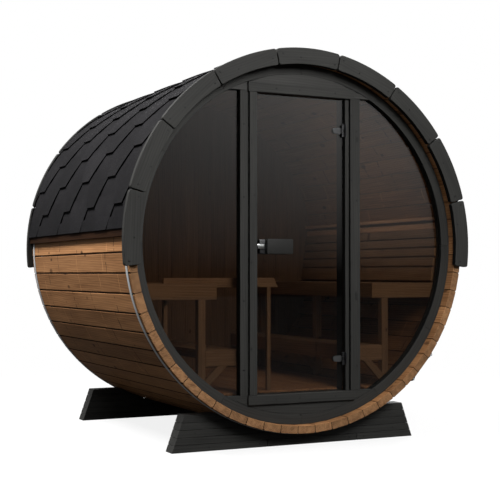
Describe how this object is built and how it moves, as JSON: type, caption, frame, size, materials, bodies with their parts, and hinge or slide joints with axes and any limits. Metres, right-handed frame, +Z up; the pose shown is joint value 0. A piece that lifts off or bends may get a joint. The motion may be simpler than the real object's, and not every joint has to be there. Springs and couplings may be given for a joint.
{
  "type": "barrel sauna",
  "caption": "Lying barrel sauna of wooden staves on cradles, with a glazed front wall, an outward opening glass door, a shingled upper half and two benches inside.",
  "frame": {"origin": "on the ground, under the middle of the barrel", "axes": "+Z up, the glazed front wall faces -Y, +X is to the right of someone facing it"},
  "size_m": [2.066, 1.78, 2.1027],
  "materials": {
    "black_wood": "black stained planed spruce",
    "stave_wood": "oiled heat treated spruce",
    "inside_wood": "bare heat treated spruce",
    "dark_batten": "dark oiled",
    "shingles": "mineral granules on bitumen felt",
    "hoop_steel": "galvanised",
    "smoked_glass": "smoked toughened glass",
    "handle_metal": "satin dark grey",
    "black_metal": "satin black"
  },
  "bodies": {
    "barrel": {"front_roof_trim": "black_wood", "rear_roof_trim": "black_wood", "front_cradle": "black_wood", "rear_cradle": "black_wood", "front_ring": "black_wood", "front_wall_top": "black_wood", "front_wall_bottom": "black_wood", "post_left": "black_wood", "post_right": "black_wood", "door_head": "black_wood", "door_sill": "black_wood", "door_jamb_left": "black_wood", "door_jamb_right": "black_wood", "staves_top": "stave_wood", "staves_right": "stave_wood", "staves_bottom": "stave_wood", "staves_left": "stave_wood", "rear_wall": "stave_wood", "front_lining": "inside_wood", "floor_boards": "inside_wood", "floor_joists": "inside_wood", "seat_left": "inside_wood", "seat_right": "inside_wood", "step_left": "inside_wood", "step_right": "inside_wood", "bench_frames_left": "inside_wood", "bench_frames_right": "inside_wood", "backrest_left": "inside_wood", "backrest_right": "inside_wood", "guard_rail": "inside_wood", "eave_batten_left": "dark_batten", "eave_batten_right": "dark_batten", "roof_shingles": "shingles", "front_hoop": "hoop_steel", "rear_hoop": "hoop_steel", "window_left": "smoked_glass", "window_right": "smoked_glass", "frame_hinges": "black_metal"},
    "door": {"door_glass": "smoked_glass", "door_handle": "handle_metal", "door_lock": "black_metal", "door_hinges": "black_metal"}
  },
  "joints": [
    {"name": "door_hinge", "type": "hinge", "parent": "barrel", "child": "door", "pos_m": [0.26, -0.797, 1.07], "axis": [0, 0, 1], "range_deg": [0, 105]}
  ]
}
